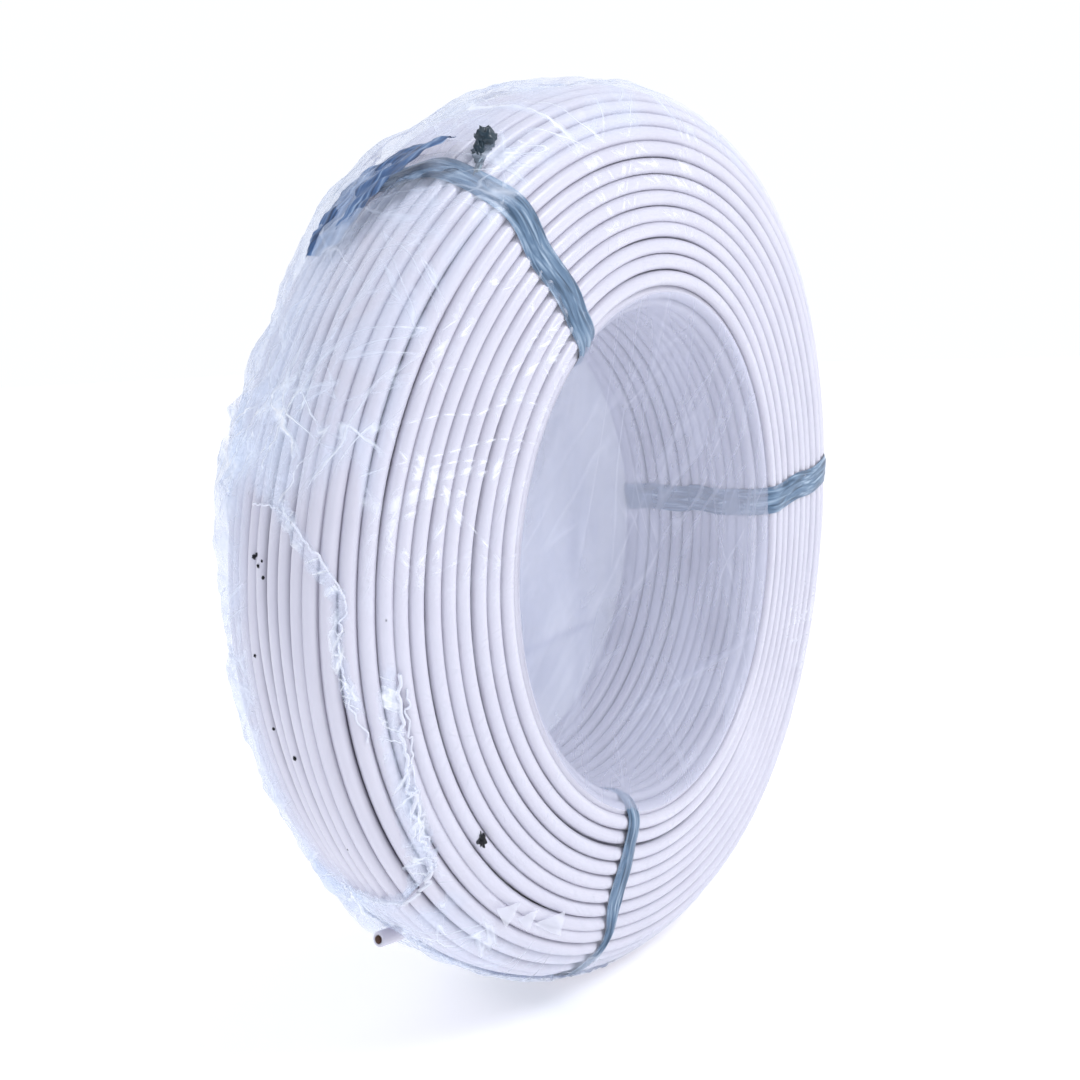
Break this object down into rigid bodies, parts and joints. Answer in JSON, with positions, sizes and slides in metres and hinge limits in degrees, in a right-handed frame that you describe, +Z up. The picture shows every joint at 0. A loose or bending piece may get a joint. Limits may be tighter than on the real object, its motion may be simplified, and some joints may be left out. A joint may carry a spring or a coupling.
{
  "type": "single-core cable coil",
  "caption": "Coil of white single-core building wire, held by blue-grey plastic ribbon ties and wrapped in clear stretch film.",
  "frame": {"origin": "on the level floor, under the middle of the coil as it stands on its rim", "axes": "+Z up; the coil's axis runs along Y and its front face looks along -Y; +X is to the right seen from the front"},
  "size_m": [0.229, 0.0652, 0.2366],
  "materials": {
    "cable_insulation": "extruded white PVC insulation with a soft satin sheen",
    "tie_ribbon": "blue-grey polyethylene ribbon, creased lengthwise",
    "clear_film": "clear, slightly milky stretch film, wrinkled where it is gathered"
  },
  "bodies": {
    "root": {"cable_coil": "cable_insulation", "tie_side": "tie_ribbon", "tie_upper": "tie_ribbon", "tie_lower": "tie_ribbon", "wrapping_film": "clear_film"}
  },
  "joints": []
}
